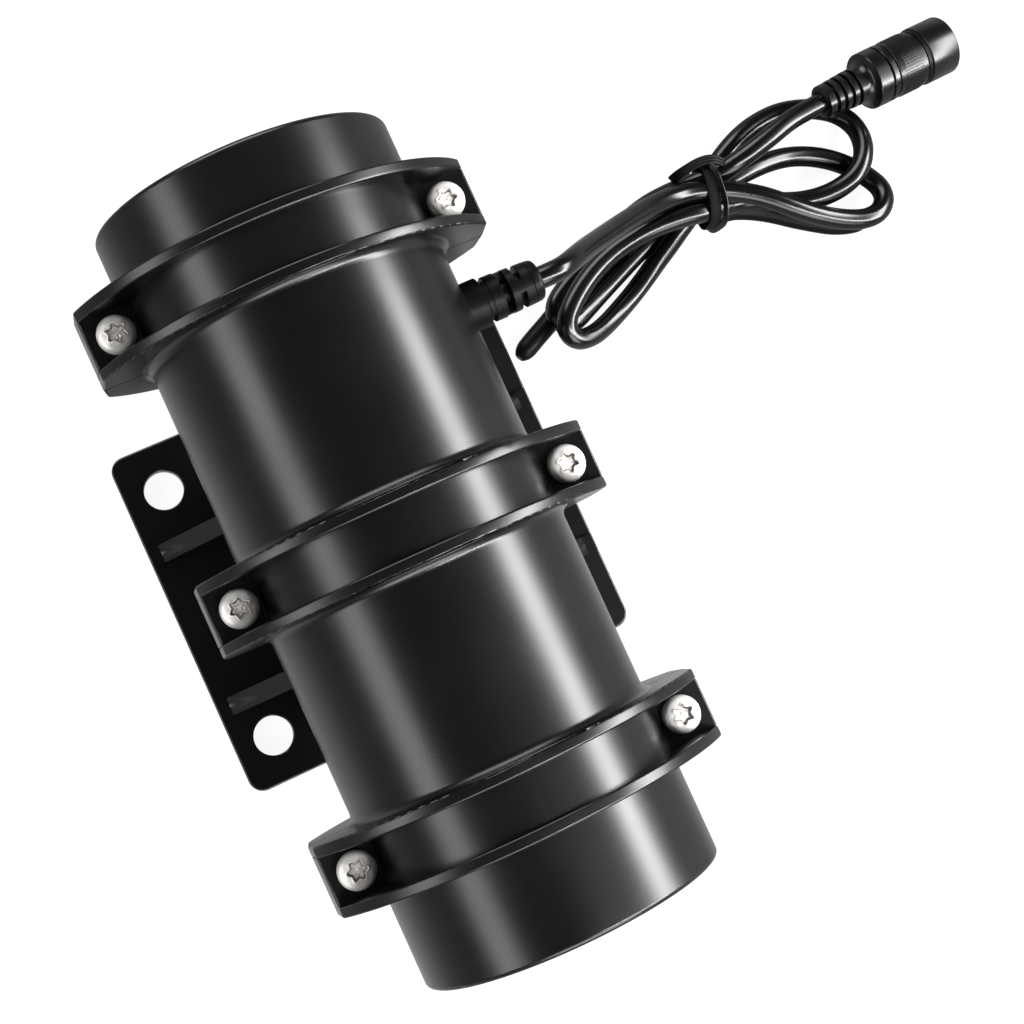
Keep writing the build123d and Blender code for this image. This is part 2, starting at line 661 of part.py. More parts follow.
def cord_hank():
    left = prism((
        (37.0, -103.3), (29.0, -89.0), (21.5, -71.0), (22.5, -62.5), (29.0, -59.5),
        (38.0, -61.0), (44.5, -73.0), (47.6, -92.0), (50.0, -106.4)), 0, LOBE_Z, 2.0)
    finger = prism(((24.4, -50.0), (29.4, -50.0), (33.0, -62.0), (26.0, -62.0)), 0, FLAT_Z, 1.0)
    right = prism((
        (36.5, -110.5), (27.0, -124.5), (19.8, -139.0), (20.6, -150.0), (30.0, -154.3),
        (42.0, -147.0), (48.6, -133.0), (49.0, -113.8)), 0, LOBE_Z, 2.0)
    flat = prism((
        (40.0, -112.0), (30.0, -150.0), (38.0, -154.3), (48.0, -154.0), (57.0, -147.5),
        (60.0, -136.0), (57.6, -124.0), (52.0, -114.9)), 0, FLAT_Z, 2.0)
    return fused([left, finger, right, flat, bundle(0, TIE_LEN)])


def twist_tie():
    band = bundle(TIE_T, TIE_BAND) - bundle(0, TIE_BAND + 2)
    return band + round_tube(TWIST_ROUTE, TWIST_R)


# Connector, drawn along its own axis and then laid down
def connector_place():
    x_dir = Vector(0, 0, 1).cross(Vector(*CONN_DIR))
    return Plane(origin=CONN_REAR, x_dir=x_dir, z_dir=CONN_DIR).location


def turned_on_connector(points):
    face = Plane.XZ * make_face(Polyline(*[(r, s) for s, r in points], close=True))
    return connector_place() * revolve(face, Axis.Z)


def connector_body():
    points = [(0, 0)]
    for s0, s1, r in RELIEF_RINGS:
        points += [(s0, RELIEF_CORE_R), (s0, r), (s1, r + 0.15), (s1, RELIEF_CORE_R)]
    s0, s1 = SHOULDER_S
    points += [
        (10.2, RELIEF_CORE_R), (10.2, 4.7), (s0 - 1.2, 4.9), (s0, 6.2), (s0, 6.6), (s0 + 0.6, CONN_R),
        (17.4, CONN_R), (17.4, 6.7), (17.8, 6.7), (17.8, CONN_R), (s1 - 0.2, CONN_R), (s1, CONN_R - 0.3),
        (s1, BARREL_R), (BARREL_END_S, BARREL_R), (BARREL_END_S, INSULATOR_R),
        (INSULATOR_S, INSULATOR_R), (INSULATOR_S, 0)]
    return turned_on_connector(points)


def coupling_nut():
    s0, s1 = NUT_S
    g0, g1 = RING_GROOVE_S
    inner = BARREL_R + 0.06
    points = (
        (s0, inner), (s0, NUT_R - 0.3), (s0 + 0.3, NUT_R), (g0, NUT_R), (g0, 6.7), (g1, 6.7),
        (g1, SLEEVE_R), (s1 - 0.5, SLEEVE_R), (s1, SLEEVE_R - 0.4), (s1, MOUTH_R + 0.3),
        (s1 - 0.3, MOUTH_R), (BARREL_END_S + 0.3, MOUTH_R), (BARREL_END_S + 0.3, inner))
    nut = turned_on_connector(points)
    flute = Pos(NUT_R + 0.1, 0, s0 + 0.9) * Box(
        0.5, 0.5, g0 - s0 - 1.8, align=(Align.CENTER, Align.CENTER, Align.MIN))
    place = connector_place()
    for i in range(KNURLS):
        nut = nut - place * Rot(0, 0, 360 * i / KNURLS) * flute
    return nut


def connector_ring():
    g0, g1 = RING_GROOVE_S
    return turned_on_connector(((g0, 6.7), (g0, NUT_R - 0.1), (g1, NUT_R - 0.1), (g1, 6.7)))


def socket_cutters(radius, s0, s1):
    place = connector_place()
    rods = [place * Pos(x, 0, s0) * Cylinder(radius, s1 - s0, align=(Align.CENTER, Align.CENTER, Align.MIN))
            for x in (-SOCKET_Y, SOCKET_Y)]
    return fused(rods)


def connector_insulator():
    core = turned_on_connector((
        (INSULATOR_S, 0), (INSULATOR_S, INSULATOR_R), (BARREL_END_S, INSULATOR_R), (BARREL_END_S, 0)))
    return core - socket_cutters(SOCKET_R, SOCKET_S, BARREL_END_S + 1)


def connector_sockets():
    tubes = socket_cutters(SOCKET_R, SOCKET_S, BARREL_END_S - 0.2)
    tubes = tubes - socket_cutters(SOCKET_R - 0.4, SOCKET_S + 1.5, BARREL_END_S + 1)
    return tubes


NODES = {
    "upper_shell": upper_shell,
    "lower_shell": lower_shell,
    "parting_gasket": parting_gasket,
    "clamp_screws": clamp_screws,
    "cable_strain_relief": cable_strain_relief,
    "motor_can": motor_can,
    "field_magnet_upper": lambda: field_magnet(1),
    "field_magnet_lower": lambda: field_magnet(-1),
    "motor_tie_bolts": motor_tie_bolts,
    "front_end_bell": front_end_bell,
    "rear_end_bell": rear_end_bell,
    "front_bearing_outer": lambda: race(FRONT_BEARING_X, BEARING_R, RACE_OUT_R),
    "front_bearing_balls": lambda: ball_set(FRONT_BEARING_X),
    "front_bearing_inner": lambda: race(FRONT_BEARING_X, RACE_IN_R, SHAFT_R),
    "rear_bearing_outer": lambda: race(REAR_BEARING_X, BEARING_R, RACE_OUT_R),
    "rear_bearing_balls": lambda: ball_set(REAR_BEARING_X),
    "rear_bearing_inner": lambda: race(REAR_BEARING_X, RACE_IN_R, SHAFT_R),
    "preload_washer": preload_washer,
    "rotor_shaft": rotor_shaft,
    "armature_core": armature_core,
    "armature_windings": armature_windings,
    "commutator": commutator,
    "front_weight_inner": lambda: eccentric_weight(WEIGHT_X[0]),
    "front_weight_outer": lambda: eccentric_weight(WEIGHT_X[1]),
    "rear_weight_inner": lambda: eccentric_weight(WEIGHT_X[2]),
    "rear_weight_outer": lambda: eccentric_weight(WEIGHT_X[3]),
    "weight_set_screws": weight_set_screws,
    "shaft_circlips": shaft_circlips,
    "brush_holders": brush_holders,
    "brush_upper": lambda: brush(1),
    "brush_lower": lambda: brush(-1),
    "brush_spring_upper": lambda: brush_spring(1),
    "brush_spring_lower": lambda: brush_spring(-1),
    "lead_wire_supply": lambda: lead_wire(1),
    "lead_wire_return": lambda: lead_wire(-1),
    "cord_lead": lambda: cord_tube("cord_lead", LEAD_ROUTE),
    "cord_hank": cord_hank,
    "cord_tail": cord_tail,
    "twist_tie": twist_tie,
    "connector_body": connector_body,
    "coupling_nut": coupling_nut,
    "connector_ring": connector_ring,
    "connector_insulator": connector_insulator,
    "connector_sockets": connector_sockets,
}

os.makedirs("parts", exist_ok=True)
for node, make in NODES.items():
    export_step(make(), f"parts/{node}.step")
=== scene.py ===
import json
import math

import bmesh
import bpy
from mathutils import Matrix, Vector
from mathutils.noise import noise as noise_at

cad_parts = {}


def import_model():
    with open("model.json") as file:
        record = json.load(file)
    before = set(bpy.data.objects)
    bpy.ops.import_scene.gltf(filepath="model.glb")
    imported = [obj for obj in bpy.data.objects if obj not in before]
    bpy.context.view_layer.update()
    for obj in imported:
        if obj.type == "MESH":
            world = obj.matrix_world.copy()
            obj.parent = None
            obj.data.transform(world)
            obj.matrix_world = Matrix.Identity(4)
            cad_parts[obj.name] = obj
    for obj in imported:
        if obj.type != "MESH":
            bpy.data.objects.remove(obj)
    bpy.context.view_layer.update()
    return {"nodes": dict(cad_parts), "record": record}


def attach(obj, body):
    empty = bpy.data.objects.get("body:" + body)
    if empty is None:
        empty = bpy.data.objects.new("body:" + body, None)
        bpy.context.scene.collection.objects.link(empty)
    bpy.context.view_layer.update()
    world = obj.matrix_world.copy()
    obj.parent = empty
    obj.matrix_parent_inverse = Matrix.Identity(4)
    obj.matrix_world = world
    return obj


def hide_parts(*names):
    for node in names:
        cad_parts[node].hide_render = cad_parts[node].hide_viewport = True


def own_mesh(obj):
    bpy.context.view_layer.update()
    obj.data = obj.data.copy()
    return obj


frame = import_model()
scene = bpy.context.scene
scene.view_settings.view_transform = "Standard"
MM = 0.001
AXIS_Z = 0.05
# Points of a mesh that lie nearer than this are merged
WELD = 0.000002


# Camera, where the photograph was taken from
CAMERA_PLACE = (-0.02382, 0.04837, 0.41492)
CAMERA_TURNS = (6.8219, -9.1386, -114.8578)
CAMERA_LENS = 62.93
camera = bpy.data.objects.new("camera", bpy.data.cameras.new("camera"))
camera.data.lens = CAMERA_LENS
camera.data.sensor_width = 36.0
camera.data.clip_start = 0.01
camera.location = CAMERA_PLACE
camera.rotation_euler = [math.radians(turn) for turn in CAMERA_TURNS]
scene.collection.objects.link(camera)
scene.camera = camera


def show(name, data):
    piece = bpy.data.objects.new(name, data)
    scene.collection.objects.link(piece)
    return piece


# A smooth curve from its first point to its last one, or a closed one round them all
def curve_along(name, points, steps, closed=False):
    curve = bpy.data.curves.new(name, "CURVE")
    curve.dimensions = "3D"
    curve.resolution_u = steps
    spline = curve.splines.new("NURBS")
    spline.points.add(len(points) - 1)
    for point, place in zip(spline.points, points):
        point.co = (*place, 1.0)
    spline.order_u = 3
    spline.use_cyclic_u = closed
    spline.use_endpoint_u = not closed
    return show(name, curve)


# A round cord along such a curve. The tips are points with the share of the radius that they keep
def round_cord(name, points, radius, tips=()):
    piece = curve_along(name, points, steps=7)
    piece.data.bevel_depth = radius
    piece.data.bevel_resolution = 7
    piece.data.use_fill_caps = True
    for index, share in tips:
        piece.data.splines[0].points[index].radius = share
    return piece


# Cord: from the strain relief down into the tie, through its loops, and out to the connector
CORD_DIAMETER = 0.005
CORD_ROUTE = (
    (0.0345, -0.0495, 0.0500), (0.0345, -0.0526, 0.0500), (0.0349, -0.0563, 0.0489),
    (0.0365, -0.0606, 0.0452), (0.0382, -0.0652, 0.0399), (0.0399, -0.0706, 0.0340),
    (0.0416, -0.0762, 0.0285), (0.0433, -0.0822, 0.0232), (0.0448, -0.0884, 0.0184),
    (0.0457, -0.0943, 0.0149), (0.0458, -0.0994, 0.0129), (0.0452, -0.1042, 0.0120),
    (0.0436, -0.1088, 0.0119), (0.0416, -0.1131, 0.0119), (0.0388, -0.1178, 0.0119),
    (0.0358, -0.1216, 0.0118), (0.0328, -0.1250, 0.0114), (0.0297, -0.1291, 0.0104),
    (0.0269, -0.1340, 0.0090), (0.0249, -0.1384, 0.0080), (0.0236, -0.1426, 0.0074),
    (0.0239, -0.1471, 0.0066), (0.0265, -0.1504, 0.0052), (0.0299, -0.1512, 0.0040),
    (0.0335, -0.1499, 0.0030), (0.0373, -0.1473, 0.0026), (0.0410, -0.1433, 0.0026),
    (0.0440, -0.1385, 0.0026), (0.0459, -0.1328, 0.0034), (0.0464, -0.1269, 0.0048),
    (0.0461, -0.1213, 0.0060), (0.0456, -0.1166, 0.0066), (0.0448, -0.1118, 0.0066),
    (0.0435, -0.1072, 0.0068), (0.0417, -0.1029, 0.0073), (0.0395, -0.0989, 0.0068),
    (0.0370, -0.0949, 0.0052), (0.0344, -0.0903, 0.0035), (0.0317, -0.0858, 0.0027),
    (0.0293, -0.0813, 0.0027), (0.0271, -0.0766, 0.0034), (0.0252, -0.0722, 0.0048),
    (0.0238, -0.0677, 0.0068), (0.0238, -0.0633, 0.0088), (0.0262, -0.0611, 0.0106),
    (0.0292, -0.0619, 0.0116), (0.0320, -0.0647, 0.0118), (0.0350, -0.0687, 0.0118),
    (0.0376, -0.0734, 0.0116), (0.0396, -0.0787, 0.0112), (0.0408, -0.0845, 0.0110),
    (0.0413, -0.0908, 0.0112), (0.0410, -0.0973, 0.0116), (0.0402, -0.1034, 0.0112),
    (0.0398, -0.1086, 0.0090), (0.0400, -0.1130, 0.0074), (0.0392, -0.1170, 0.0069),
    (0.0377, -0.1208, 0.0067), (0.0355, -0.1250, 0.0065), (0.0338, -0.1298, 0.0066),
    (0.0329, -0.1349, 0.0069), (0.0331, -0.1405, 0.0073), (0.0347, -0.1455, 0.0076),
    (0.0381, -0.1494, 0.0070), (0.0427, -0.1517, 0.0054), (0.0474, -0.1519, 0.0036),
    (0.0515, -0.1496, 0.0026), (0.0543, -0.1453, 0.0026), (0.0561, -0.1404, 0.0026),
    (0.0570, -0.1356, 0.0027), (0.0567, -0.1302, 0.0032), (0.0555, -0.1248, 0.0040),
    (0.0535, -0.1197, 0.0047), (0.0508, -0.1149, 0.0044), (0.0476, -0.1098, 0.0032),
    (0.0452, -0.1048, 0.0027), (0.0428, -0.0986, 0.0026), (0.0403, -0.0924, 0.0026),
    (0.0381, -0.0864, 0.0026), (0.0354, -0.0801, 0.0026), (0.0330, -0.0746, 0.0030),
    (0.0305, -0.0691, 0.0042), (0.0287, -0.0652, 0.0056), (0.0290, -0.0620, 0.0068),
    (0.0316, -0.0610, 0.0074), (0.0343, -0.0624, 0.0076), (0.0364, -0.0656, 0.0076),
    (0.0383, -0.0696, 0.0076), (0.0406, -0.0749, 0.0076), (0.0434, -0.0810, 0.0078),
    (0.0460, -0.0876, 0.0082), (0.0474, -0.0931, 0.0084), (0.0479, -0.0988, 0.0082),
    (0.0480, -0.1039, 0.0079), (0.0477, -0.1084, 0.0085), (0.0475, -0.1130, 0.0106),
    (0.0482, -0.1176, 0.0120), (0.0495, -0.1227, 0.0122), (0.0509, -0.1280, 0.0120),
    (0.0524, -0.1330, 0.0115), (0.05315, -0.1374, 0.0111), (0.0537, -0.1431, 0.0106),
)
# The tie's two rubber legs, which lie on the table along the hank, one each way from the collar
LEG_R = 0.00248
LEG_LEFT = (
    (0.0263, -0.0499, 0.0026), (0.0269, -0.0510, 0.0026), (0.0291, -0.0553, 0.0026),
    (0.0315, -0.0605, 0.0026), (0.0339, -0.0648, 0.0026), (0.0365, -0.0690, 0.0026),
    (0.0389, -0.0743, 0.0026), (0.0412, -0.0799, 0.0026), (0.0434, -0.0859, 0.0026),
    (0.0454, -0.0920, 0.0026), (0.0469, -0.0980, 0.0026), (0.0483, -0.1035, 0.0028),
)
LEG_RIGHT = (
    (0.0396, -0.1074, 0.0036), (0.0395, -0.1130, 0.0028), (0.0380, -0.1171, 0.0027),
    (0.0363, -0.1205, 0.0026), (0.0341, -0.1240, 0.0026), (0.0315, -0.1275, 0.0026),
    (0.0288, -0.1316, 0.0026), (0.0261, -0.1360, 0.0026), (0.0247, -0.1399, 0.0026),
    (0.0242, -0.1431, 0.0026), (0.0246, -0.1457, 0.0026),
)

cord = round_cord("cord", CORD_ROUTE, CORD_DIAMETER / 2)
leg_left = round_cord("tie_leg_left", LEG_LEFT, LEG_R, tips=((0, 0.45), (1, 1.0)))
leg_right = round_cord("tie_leg_right", LEG_RIGHT, LEG_R, tips=((-1, 0.6),))


# Shared surface effects, each a node group that gives masks and heights
def effect(name, inputs, outputs):
    group = bpy.data.node_groups.new(name, "ShaderNodeTree")
    for label, value in inputs:
        socket = group.interface.new_socket(label, in_out="INPUT", socket_type="NodeSocketFloat")
        socket.default_value = value
    for label in outputs:
        group.interface.new_socket(label, in_out="OUTPUT", socket_type="NodeSocketFloat")
    return group, group.nodes.new("NodeGroupInput"), group.nodes.new("NodeGroupOutput")


def maths(tree, operation, first, second=None):
    node = tree.nodes.new("ShaderNodeMath")
    node.operation = operation
    for socket, value in zip(node.inputs, (first, second)):
        if isinstance(value, bpy.types.NodeSocket):
            tree.links.new(value, socket)
        elif value is not None:
            socket.default_value = value
    return node.outputs[0]


# From one value and what it gives to another value and what that gives, level beyond both
def ramp(tree, value, start, end):
    node = tree.nodes.new("ShaderNodeMapRange")
    labels = ("From Min", "To Min", "From Max", "To Max")
    for label, amount in zip(labels, (*start, *end)):
        node.inputs[label].default_value = amount
    tree.links.new(value, node.inputs["Value"])
    return node.outputs["Result"]


def noise(tree, vector, scale, detail, roughness):
    node = tree.nodes.new("ShaderNodeTexNoise")
    node.inputs["Detail"].default_value = detail
    node.inputs["Roughness"].default_value = roughness
    tree.links.new(vector, node.inputs["Vector"])
    tree.links.new(scale, node.inputs["Scale"])
    return node.outputs[0]


# Fine moulded or sprayed grain, with the faint uneven patches that handling leaves
def surface_grain():
    group, given, result = effect(
        "surface_grain", (("Grain Scale", 2600.0), ("Patch Scale", 60.0)), ("Grain", "Patches"))
    where = group.nodes.new("ShaderNodeTexCoord").outputs["Object"]
    fine = noise(group, where, given.outputs["Grain Scale"], 4.0, 0.6)
    patches = noise(group, where, given.outputs["Patch Scale"], 5.0, 0.55)
    group.links.new(fine, result.inputs["Grain"])
    group.links.new(patches, result.inputs["Patches"])
    return group


# Lines left by turning about the motor's axis, fine rings on an end face and round a shaft alike
def turned_rings():
    group, given, result = effect(
        "turned_rings", (("Rings per Metre", 5200.0), ("Axis Height", AXIS_Z)), ("Rings",))
    where = group.nodes.new("ShaderNodeTexCoord").outputs["Object"]
    parts = group.nodes.new("ShaderNodeSeparateXYZ")
    group.links.new(where, parts.inputs[0])
    rise = maths(group, "SUBTRACT", parts.outputs["Z"], given.outputs["Axis Height"])
    square = maths(group, "ADD", maths(group, "MULTIPLY", rise, rise),
                   maths(group, "MULTIPLY", parts.outputs["Y"], parts.outputs["Y"]))
    along = maths(group, "ADD", maths(group, "SQRT", square), parts.outputs["X"])
    wave = maths(group, "SINE", maths(group, "MULTIPLY", along, given.outputs["Rings per Metre"]))
    group.links.new(maths(group, "MULTIPLY_ADD", wave, 0.5), result.inputs["Rings"])
    return group


GRAIN = surface_grain()
RINGS = turned_rings()


def placed(tree, group, **values):
    node = tree.nodes.new("ShaderNodeGroup")
    node.node_tree = group
    for label, value in values.items():
        node.inputs[label.replace("_", " ")].default_value = value
    return node


# A mask of patches lies mostly between these two, so that is what is spread from low to high
PATCH_LOW = 0.3
PATCH_HIGH = 0.7


def spread(tree, mask, low, high):
    return ramp(tree, mask, (PATCH_LOW, low), (PATCH_HIGH, high))


COAT_ROUGHNESS = 0.1


# A finish: two close tones, a roughness that wanders, grain in relief, and turned rings where wanted
def finish(name, tone, worn_tone, roughness, grain, relief, metallic=0.0, specular=0.5, coat=0.0,
           patches=60.0, rings=None, wander=0.05):
    material = bpy.data.materials.new(name)
    material.use_nodes = True
    tree = material.node_tree
    shader = tree.nodes["Principled BSDF"]
    shader.inputs["Metallic"].default_value = metallic
    shader.inputs["Specular IOR Level"].default_value = specular
    shader.inputs["Coat Weight"].default_value = coat
    shader.inputs["Coat Roughness"].default_value = COAT_ROUGHNESS
    surface = placed(tree, GRAIN, Grain_Scale=grain, Patch_Scale=patches)
    tones = tree.nodes.new("ShaderNodeMix")
    tones.data_type = "RGBA"
    tones.inputs[6].default_value = (*tone, 1.0)
    tones.inputs[7].default_value = (*worn_tone, 1.0)
    tree.links.new(spread(tree, surface.outputs["Patches"], 0.0, 1.0), tones.inputs[0])
    tree.links.new(tones.outputs[2], shader.inputs["Base Color"])
    rough = spread(tree, surface.outputs["Patches"], roughness - wander, roughness + wander)
    tree.links.new(rough, shader.inputs["Roughness"])
    bump = tree.nodes.new("ShaderNodeBump")
    bump.inputs["Strength"].default_value = 1.0
    bump.inputs["Distance"].default_value = relief
    height = surface.outputs["Grain"]
    if rings:
        lines = placed(tree, RINGS, Rings_per_Metre=rings)
        height = maths(tree, "ADD", height, lines.outputs["Rings"])
    tree.links.new(height, bump.inputs["Height"])
    tree.links.new(bump.outputs["Normal"], shader.inputs["Normal"])
    return material


# By slot: both tones, then roughness, grains per metre and the grain's relief in metres
FINISHES = {
    "black_coat": finish("black_satin_coat", (0.0012, 0.0012, 0.0013), (0.0016, 0.0016, 0.0017),
                         0.29, 3200.0, 0.000008, patches=45.0, wander=0.02),
    "gasket": finish("gasket_rubber", (0.006, 0.006, 0.006), (0.009, 0.009, 0.009),
                     0.6, 1800.0, 0.00002, specular=0.05),
    "zinc_steel": finish("zinc_plated_steel", (0.80, 0.78, 0.75), (0.92, 0.90, 0.87),
                         0.38, 1500.0, 0.000014, metallic=0.30, patches=420.0, wander=0.07),
    "bare_steel": finish("turned_steel", (0.42, 0.42, 0.44), (0.52, 0.52, 0.53),
                         0.30, 900.0, 0.000012, metallic=1.0, rings=9000.0),
    "bearing_steel": finish("bearing_steel", (0.60, 0.60, 0.62), (0.66, 0.66, 0.68),
                            0.14, 1400.0, 0.000002, metallic=1.0, wander=0.03),
    "lamination": finish("stacked_laminations", (0.14, 0.14, 0.16), (0.20, 0.19, 0.19),
                         0.46, 1600.0, 0.00003, metallic=0.9, rings=12000.0),
    "magnet": finish("sintered_ferrite", (0.060, 0.060, 0.066), (0.095, 0.093, 0.095),
                     0.62, 2400.0, 0.00003),
    "copper": finish("enamelled_copper", (0.52, 0.19, 0.07), (0.66, 0.27, 0.11),
                     0.28, 1200.0, 0.00002, metallic=1.0, coat=0.5, rings=9500.0),
    "carbon": finish("pressed_carbon", (0.020, 0.020, 0.022), (0.040, 0.040, 0.042),
                     0.5, 3000.0, 0.00003),
    "brass": finish("brass", (0.66, 0.46, 0.17), (0.76, 0.56, 0.25),
                    0.28, 1300.0, 0.000008, metallic=1.0),
    "aluminium": finish("machined_aluminium", (0.58, 0.59, 0.60), (0.68, 0.69, 0.70),
                        0.34, 1100.0, 0.000012, metallic=1.0, rings=7000.0),
    "moulding": finish("phenolic_moulding", (0.085, 0.042, 0.022), (0.12, 0.062, 0.034),
                       0.42, 2000.0, 0.00002),
    "black_rubber": finish("black_rubber", (0.0015, 0.0015, 0.0016), (0.0024, 0.0024, 0.0025),
                           0.25, 3600.0, 0.000004, specular=0.46, patches=160.0, wander=0.02),
    "cord_jacket": finish("cord_jacket", (0.0012, 0.0012, 0.0013), (0.0018, 0.0018, 0.0019),
                          0.22, 2800.0, 0.000001, specular=0.44, patches=120.0, wander=0.01),
    "wire_red": finish("red_insulation", (0.50, 0.018, 0.012), (0.58, 0.028, 0.018),
                       0.32, 1600.0, 0.000008),
    "wire_blue": finish("blue_insulation", (0.014, 0.036, 0.40), (0.020, 0.050, 0.48),
                        0.32, 1600.0, 0.000008),
    "black_plastic": finish("black_plastic", (0.0014, 0.0014, 0.0015), (0.0022, 0.0022, 0.0023),
                            0.28, 2600.0, 0.000003, specular=0.42, patches=200.0, wander=0.015),
}
# The duller rubber of the strain relief, the connector's ring and the tie's loose ends
MATTE_BLACK = finish("matte_black_rubber", (0.0026, 0.0026, 0.0027), (0.0040, 0.0040, 0.0041),
                     0.38, 3600.0, 0.000006, specular=0.09, patches=160.0, wander=0.03)

for part in frame["record"]["subparts"]:
    matte = part["node"] == "connector_ring"
    node = frame["nodes"][part["node"]]
    node.data.materials.clear()
    node.data.materials.append(MATTE_BLACK if matte else FINISHES[part["material_slot"]])


# Ways to make a piece's mesh
def as_mesh(shape, name, place=None):
    mesh = bpy.data.meshes.new(name)
    shape.to_mesh(mesh)
    shape.free()
    if place is not None:
        mesh.transform(place)
    return mesh


# A mesh with its doubles merged, shaded smooth up to the sharp angle in degrees
def solid(name, mesh, sharp):
    shape = bmesh.new()
    shape.from_mesh(mesh)
    bmesh.ops.remove_doubles(shape, verts=shape.verts, dist=WELD)
    bmesh.ops.recalc_face_normals(shape, faces=shape.faces)
    shape.to_mesh(mesh)
    shape.free()
    mesh.shade_smooth()
    mesh.set_sharp_from_angle(angle=math.radians(sharp))
    return show(name, mesh)


TURN_STEPS = 96


# A profile of places along Z and radii, both in millimetres, turned about Z
def turned(name, profile, place=None):
    shape = bmesh.new()
    line = [shape.verts.new((r * MM, 0.0, s * MM)) for s, r in profile]
    edges = [shape.edges.new(pair) for pair in zip(line, line[1:])]
    bmesh.ops.spin(shape, geom=line + edges, cent=(0, 0, 0), axis=(0, 0, 1),
                   angle=math.tau, steps=TURN_STEPS, use_duplicate=False)
    bmesh.ops.remove_doubles(shape, verts=shape.verts, dist=WELD)
    bmesh.ops.recalc_face_normals(shape, faces=shape.faces)
    return as_mesh(shape, name, place)


# Faces between each loop of points and the next, all with as many points
def skin(shape, loops):
    for first, second in zip(loops, loops[1:]):
        for i in range(len(first)):
            j = (i + 1) % len(first)
            shape.faces.new((first[i], second[i], second[j], first[j]))


def joined(name, meshes, place):
    shape = bmesh.new()
    for mesh in meshes:
        shape.from_mesh(mesh)
    return as_mesh(shape, name, place)


# What a piece's modifiers or its curve give, as a plain mesh. The piece itself goes
def settled(piece, name):
    seen = piece.evaluated_get(bpy.context.evaluated_depsgraph_get())
    mesh = bpy.data.meshes.new_from_object(seen)
    mesh.name = name
    bpy.data.objects.remove(piece)
    return mesh


def finished(piece, slot, body, *nodes, look=None):
    piece.data.materials.clear()
    piece.data.materials.append(look or FINISHES[slot])
    if nodes:
        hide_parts(*nodes)
    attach(piece, body)
    return piece


# Geometry Nodes: a tree with named inputs, run on a carrier and turned into a plain mesh
def tree_with(name, inputs):
    tree = bpy.data.node_groups.new(name, "GeometryNodeTree")
    tree.interface.new_socket("Geometry", in_out="INPUT", socket_type="NodeSocketGeometry")
    for label, kind in inputs:
        tree.interface.new_socket(label, in_out="INPUT", socket_type="NodeSocket" + kind)
    tree.interface.new_socket("Geometry", in_out="OUTPUT", socket_type="NodeSocketGeometry")
    return tree, tree.nodes.new("NodeGroupInput"), tree.nodes.new("NodeGroupOutput")


def grown(name, carrier, tree, **values):
    modifier = carrier.modifiers.new(name, "NODES")
    modifier.node_group = tree
    for item in tree.interface.items_tree:
        label = item.name.replace(" ", "_")
        if item.item_type == "SOCKET" and item.in_out == "INPUT" and label in values:
            modifier[item.identifier] = values[label]
    return settled(carrier, name)


def geometry_node(tree, kind, **sockets):
    node = tree.nodes.new("GeometryNode" + kind)
    for label, value in sockets.items():
        socket = node.inputs[label.replace("_", " ")]
        if isinstance(value, bpy.types.NodeSocket):
            tree.links.new(value, socket)
        else:
            socket.default_value = value
    return node


def end_of_tree(tree, given, result, geometry):
    real = geometry_node(tree, "RealizeInstances", Geometry=geometry)
    coated = geometry_node(tree, "SetMaterial", Geometry=real.outputs[0], Material=given.outputs["Finish"])
    tree.links.new(coated.outputs[0], result.inputs[0])


# The tree's last part where it places the copy on points, each one turned about Z
def copies_at(tree, given, result, points, turn):
    axis = tree.nodes.new("ShaderNodeCombineXYZ")
    tree.links.new(turn, axis.inputs["Z"])
    source = geometry_node(tree, "ObjectInfo", Object=given.outputs["Copy"])
    copies = geometry_node(tree, "InstanceOnPoints", Points=points,
                           Instance=source.outputs["Geometry"], Rotation=axis.outputs[0])
    end_of_tree(tree, given, result, copies.outputs[0])
    return tree


# A copy on each of the carrier's points, each one turned a step further than the last
def copies_on_points():
    tree, given, result = tree_with(
        "copies_on_points", (("Copy", "Object"), ("Turn Step", "Float"), ("Finish", "Material")))
    index = geometry_node(tree, "InputIndex")
    turn = maths(tree, "MULTIPLY", index.outputs[0], given.outputs["Turn Step"])
    return copies_at(tree, given, result, given.outputs["Geometry"], turn)


# A ring of copies about the Z axis, each one facing outwards
def ring_of_copies():
    tree, given, result = tree_with(
        "ring_of_copies", (("Copy", "Object"), ("Count", "Int"), ("Finish", "Material")))
    points = geometry_node(tree, "Points", Count=given.outputs["Count"])
    index = geometry_node(tree, "InputIndex")
    turn = maths(tree, "DIVIDE", maths(tree, "MULTIPLY", index.outputs[0], math.tau),
                 given.outputs["Count"])
    return copies_at(tree, given, result, points.outputs[0], turn)


RIB_SIDES = 14


# A strap of three round ribs side by side along the carrier's curve
def ribbed_strap():
    tree, given, result = tree_with(
        "ribbed_strap", (("Rib Radius", "Float"), ("Pitch", "Float"), ("Finish", "Material")))
    ribs = geometry_node(tree, "JoinGeometry")
    for step in (-1.0, 0.0, 1.0):
        circle = geometry_node(tree, "CurvePrimitiveCircle", Resolution=RIB_SIDES,
                               Radius=given.outputs["Rib Radius"])
        shift = tree.nodes.new("ShaderNodeCombineXYZ")
        tree.links.new(maths(tree, "MULTIPLY", given.outputs["Pitch"], step), shift.inputs["X"])
        rib = geometry_node(tree, "Transform", Geometry=circle.outputs[0], Translation=shift.outputs[0])
        tree.links.new(rib.outputs[0], ribs.inputs[0])
    strap = geometry_node(tree, "CurveToMesh", Curve=given.outputs["Geometry"],
                          Profile_Curve=ribs.outputs[0], Fill_Caps=True)
    end_of_tree(tree, given, result, strap.outputs[0])
    return tree


def points_carrier(name, places):
    mesh = bpy.data.meshes.new(name)
    mesh.from_pydata(places, [], [])
    return show(name, mesh)


COPIES = copies_on_points()
RING = ring_of_copies()
STRAP = ribbed_strap()


